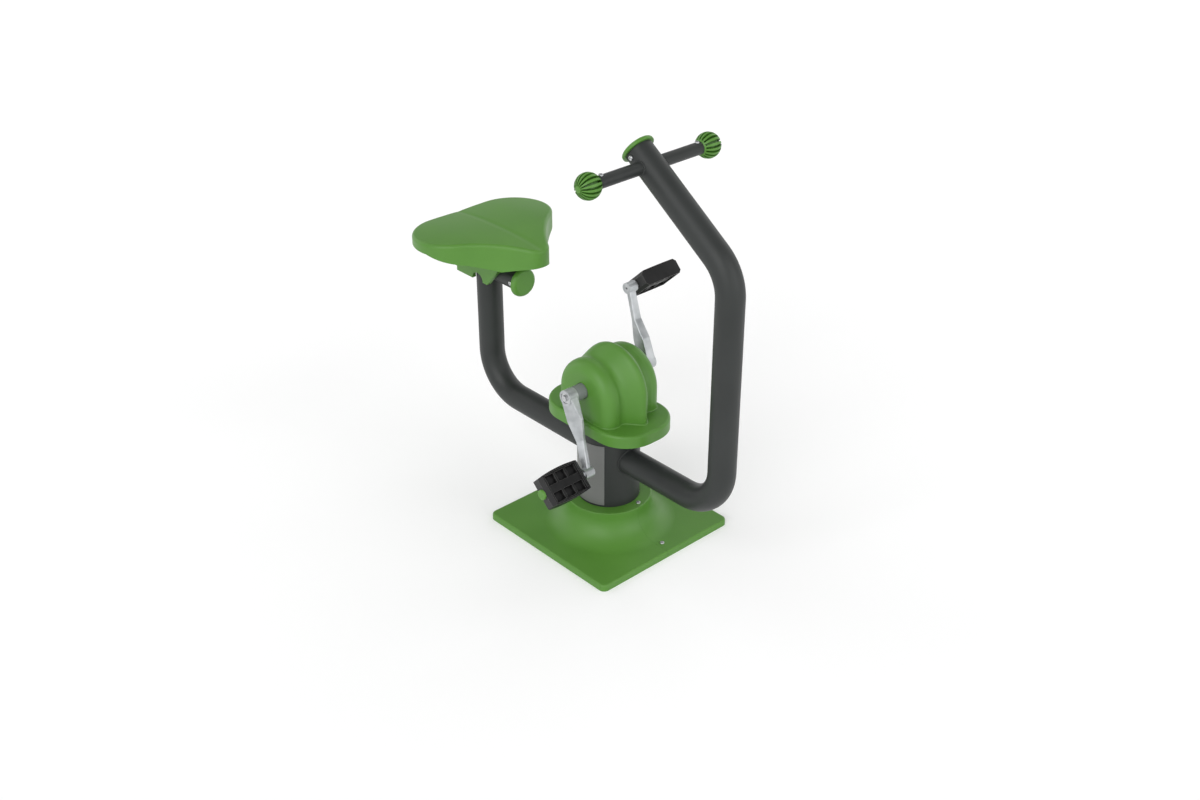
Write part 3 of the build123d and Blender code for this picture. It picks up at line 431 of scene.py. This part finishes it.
matt_plate, plate, plate_shader = start_material("matt_plate", Metallic=plate_metal)
plate_brush = streaks(plate, brush_lines)
plate_grain = add_effect(plate, surface_grain, Drift_Size=plate_drift_size)
feed(
    plate_shader,
    Base_Color=blend_colours(plate, plate_brush, plate_dark, plate_pale),
    Roughness=spread(plate, plate_grain["Drift"], *plate_roughness),
    Normal=relief(plate, plate_brush, brush_depth),
)
dress(matt_plate, "info_plate")


# Base cover, housing cover, saddle, cradle, caps and grips: green mouldings.
# Moulded in coloured plastic with a fine spark-eroded grain, satin, pushed or screwed in place.
# Their grooves are darkened with painted shade.
green_deep = linear(75, 127, 40)
green_fresh = linear(84, 136, 48)
green_dust = linear(126, 148, 100)
green_painted_shade = linear(60, 108, 32)
green_roughness = (0.40, 0.50)
green_drift_size = 0.22
green_dust_amount = 0.06
green_dust_patch = 0.04
green_grain_size = 0.0009
green_grain_depth = 0.00004
groove_reach = 0.010
open_lie_samples = 8
deep_level = 0.45
open_level = 0.85

# Open lie: 0 for a spot deep in a groove or a pocket, 1 for a spot in the open; it places the painted shade
# in grooves and pockets.
open_lie, lie_in, lie_out = effect_group("open_lie", {"Reach": 0.01}, ("Mask",))
lie_free = add_node(
    open_lie, "ShaderNodeAmbientOcclusion", samples=open_lie_samples, only_local=True,
    Distance=lie_in["Reach"],
)
feed(lie_out, Mask=soft_step(open_lie, lie_free.outputs["AO"], deep_level, open_level))

green_plastic, green, green_shader = start_material("green_plastic")
green_grain = add_effect(green, surface_grain, Grain_Size=green_grain_size, Drift_Size=green_drift_size)
green_veil = add_effect(green, settled_dust, Amount=green_dust_amount, Patch_Size=green_dust_patch)
green_lie = add_effect(green, open_lie, Reach=groove_reach)
green_tone = blend_colours(green, spread(green, green_grain["Drift"]), green_deep, green_fresh)
green_dusty = blend_colours(green, green_veil["Mask"], green_tone, green_dust)
# Grooves and tight hollows take the dark green colour: painted shade.
feed(
    green_shader,
    Base_Color=blend_colours(green, green_lie["Mask"], green_painted_shade, green_dusty),
    Roughness=spread(green, green_grain["Drift"], *green_roughness),
    Normal=relief(green, green_grain["Height"], green_grain_depth),
)
dress(
    green_plastic, "base_cover_right", "base_cover_left", "housing_cover", "saddle", "saddle_cradle",
    "mast_cap", "support_cap_front", "support_cap_rear", "grip_ball_right", "grip_ball_left",
    "pedal_cap_right", "pedal_cap_left",
)


# Screws, bolts, nuts and pedal axles: stainless steel, turned and rolled, with bright worn heads.
# Round-headed screws hold the covers, caps and grips, and bolts hold the cranks, brackets and saddle.
def bare_metal(name, metallic, tones, roughness, grain_size, grain_depth, drift_size):
    """An unpainted metal whose tone and gloss drift between two values, over a fine grain."""
    material, tree, shader = start_material(name, Metallic=metallic)
    grain = add_effect(tree, surface_grain, Grain_Size=grain_size, Drift_Size=drift_size)
    feed(
        shader,
        Base_Color=blend_colours(tree, grain["Drift"], *tones),
        Roughness=spread(tree, grain["Drift"], *roughness),
        Normal=relief(tree, grain["Height"], grain_depth),
    )
    return material


bright_steel = bare_metal(
    "bright_steel", metallic=1.0, tones=(linear(184, 186, 188), linear(212, 213, 214)),
    roughness=(0.24, 0.40), grain_size=0.0004, grain_depth=0.00001, drift_size=0.006,
)
dress(
    bright_steel, "base_cover_screws", "bracket_bolts", "housing_screws", "tube_screws", "saddle_bolts",
    "saddle_screws", "crank_bolts", "pedal_nuts", "pedal_axle_right", "pedal_axle_left",
)


# Flywheel: grey cast iron, rough from the sand on its web and turned on its rim.
# It is keyed to the spindle inside the housing.
cast_iron = bare_metal(
    "cast_iron", metallic=0.6, tones=(linear(70, 70, 72), linear(98, 97, 96)),
    roughness=(0.5, 0.7), grain_size=0.0018, grain_depth=0.0002, drift_size=0.02,
)
dress(cast_iron, "flywheel")


# Spindle sleeves: turned steel collars, painted grey, between the housing and each crank.
# They turn with the spindle, and fine tool rings show round them.
sleeve_dark = linear(120, 124, 124)
sleeve_pale = linear(142, 146, 146)
sleeve_metal = 0.2
sleeve_roughness = (0.36, 0.5)
ring_lines = (6.0, 900.0, 6.0)
ring_depth = 0.00004
painted_sleeve, sleeve, sleeve_shader = start_material("painted_sleeve", Metallic=sleeve_metal)
sleeve_rings = streaks(sleeve, ring_lines)
feed(
    sleeve_shader,
    Base_Color=blend_colours(sleeve, sleeve_rings, sleeve_dark, sleeve_pale),
    Roughness=spread(sleeve, sleeve_rings, *sleeve_roughness),
    Normal=relief(sleeve, sleeve_rings, ring_depth),
)
dress(painted_sleeve, "spindle_sleeve_right", "spindle_sleeve_left")


# Crank arms: aluminium castings, shot blasted and left silver grey.
# Each is bolted on the spindle's end and carries a pedal axle in its boss.
silver_dark = linear(166, 170, 172)
silver_pale = linear(196, 199, 201)
silver_worn = linear(224, 226, 227)
silver_metal = 0.8
silver_roughness = (0.34, 0.48)
silver_drift_size = 0.035
silver_wear_width = 0.0022
silver_wear_patch = 0.012
blast_size = 0.0011
blast_depth = 0.00012
edge_samples = 6
flat_agreement = 0.99
edge_agreement = 0.88

# Edge wear and highlight: a line along each sharp edge, told by how a rounded edge would turn the surface. It
# is rubbed wear on the cranks, and on the pedals partly wear and partly painted highlight.
edge_wear_and_highlight, edge_in, edge_out = effect_group("edge_wear_and_highlight", {"Width": 0.002, "Patch Size": 0.01}, ("Mask",))
edge_round = add_node(edge_wear_and_highlight, "ShaderNodeBevel", samples=edge_samples, Radius=edge_in["Width"])
edge_flat = add_node(edge_wear_and_highlight, "ShaderNodeNewGeometry")
normal_agreement = add_node(
    edge_wear_and_highlight, "ShaderNodeVectorMath", edge_round.outputs["Normal"], edge_flat.outputs["Normal"],
    operation="DOT_PRODUCT",
)
edge_line = soft_step(edge_wear_and_highlight, normal_agreement.outputs["Value"], flat_agreement, edge_agreement)
edge_place = add_node(edge_wear_and_highlight, "ShaderNodeTexCoord").outputs["Object"]
edge_patches = cloud_of_size(edge_wear_and_highlight, edge_in["Patch Size"], edge_place, fine_detail)
feed(edge_out, Mask=calculate(edge_wear_and_highlight, "MULTIPLY", edge_line, edge_patches))

cast_silver, silver, silver_shader = start_material("cast_silver", Metallic=silver_metal)
silver_grain = add_effect(silver, surface_grain, Grain_Size=blast_size, Drift_Size=silver_drift_size)
silver_rub = add_effect(silver, edge_wear_and_highlight, Width=silver_wear_width, Patch_Size=silver_wear_patch)
silver_skin = blend_colours(silver, spread(silver, silver_grain["Drift"]), silver_dark, silver_pale)
feed(
    silver_shader,
    Base_Color=blend_colours(silver, silver_rub["Mask"], silver_skin, silver_worn),
    Roughness=spread(silver, silver_grain["Drift"], *silver_roughness),
    Normal=relief(silver, silver_grain["Height"], blast_depth),
)
dress(cast_silver, "crank_arm_right", "crank_arm_left")


# Pedal bodies: black moulded plastic blocks with ribs and pockets, scuffed by shoes; their pale edge lines
# are partly that wear and partly painted highlight.
# The pockets are painted near black as painted shade and made matt, and the ends are rubbed dull.
# Each turns on two brass bushes that are pressed into it.
black_deep = linear(17, 17, 18)
black_pale = linear(25, 25, 26)
black_dull = linear(52, 52, 52)
black_dust = linear(80, 80, 77)
black_scuff_and_highlight = linear(128, 128, 126)
black_painted_shade = linear(5, 5, 5)
black_shine = 0.28
black_roughness = (0.42, 0.56)
pocket_roughness = 1.0
black_drift_size = 0.025
black_dust_amount = 0.12
black_dust_patch = 0.012
black_edge_width = 0.0016
black_edge_patch = 0.008
black_grain_size = 0.0008
black_grain_depth = 0.00006
pocket_reach = 0.014
end_starts_at = 0.6
end_full_at = 0.95
black_plastic, black, black_shader = start_material("black_plastic", Specular_IOR_Level=black_shine)
black_grain = add_effect(black, surface_grain, Grain_Size=black_grain_size, Drift_Size=black_drift_size)
black_veil = add_effect(black, settled_dust, Amount=black_dust_amount, Patch_Size=black_dust_patch)
black_rub_and_highlight = add_effect(black, edge_wear_and_highlight, Width=black_edge_width, Patch_Size=black_edge_patch)
black_lie = add_effect(black, open_lie, Reach=pocket_reach)
black_facing = add_node(black, "ShaderNodeTexCoord").outputs["Normal"]
black_along_axle = calculate(black, "ABSOLUTE", part_along(black, black_facing, "Y"))
black_ends = soft_step(black, black_along_axle, end_starts_at, end_full_at)
black_block = blend_colours(black, spread(black, black_grain["Drift"]), black_deep, black_pale)
black_skin = blend_colours(black, black_ends, black_block, black_dull)
black_dusty = blend_colours(black, black_veil["Mask"], black_skin, black_dust)
# Sharp edges painted pale: partly shoe scuffs, partly painted highlight.
black_scuffed_and_lit = blend_colours(black, black_rub_and_highlight["Mask"], black_dusty, black_scuff_and_highlight)
# In the pockets: near black colour, which is painted shade, and full roughness.
black_gloss = add_node(
    black, "ShaderNodeMapRange", Value=black_lie["Mask"], To_Min=pocket_roughness,
    To_Max=spread(black, black_grain["Drift"], *black_roughness),
)
feed(
    black_shader,
    Base_Color=blend_colours(black, black_lie["Mask"], black_painted_shade, black_scuffed_and_lit),
    Roughness=black_gloss.outputs["Result"],
    Normal=relief(black, black_grain["Height"], black_grain_depth),
)
dress(black_plastic, "pedal_body_right", "pedal_body_left")

bush_brass = bare_metal(
    "bush_brass", metallic=1.0, tones=(linear(176, 142, 78), linear(200, 168, 102)),
    roughness=(0.25, 0.4), grain_size=0.0006, grain_depth=0.00002, drift_size=0.008,
)
dress(bush_brass, "pedal_bushes_right", "pedal_bushes_left")
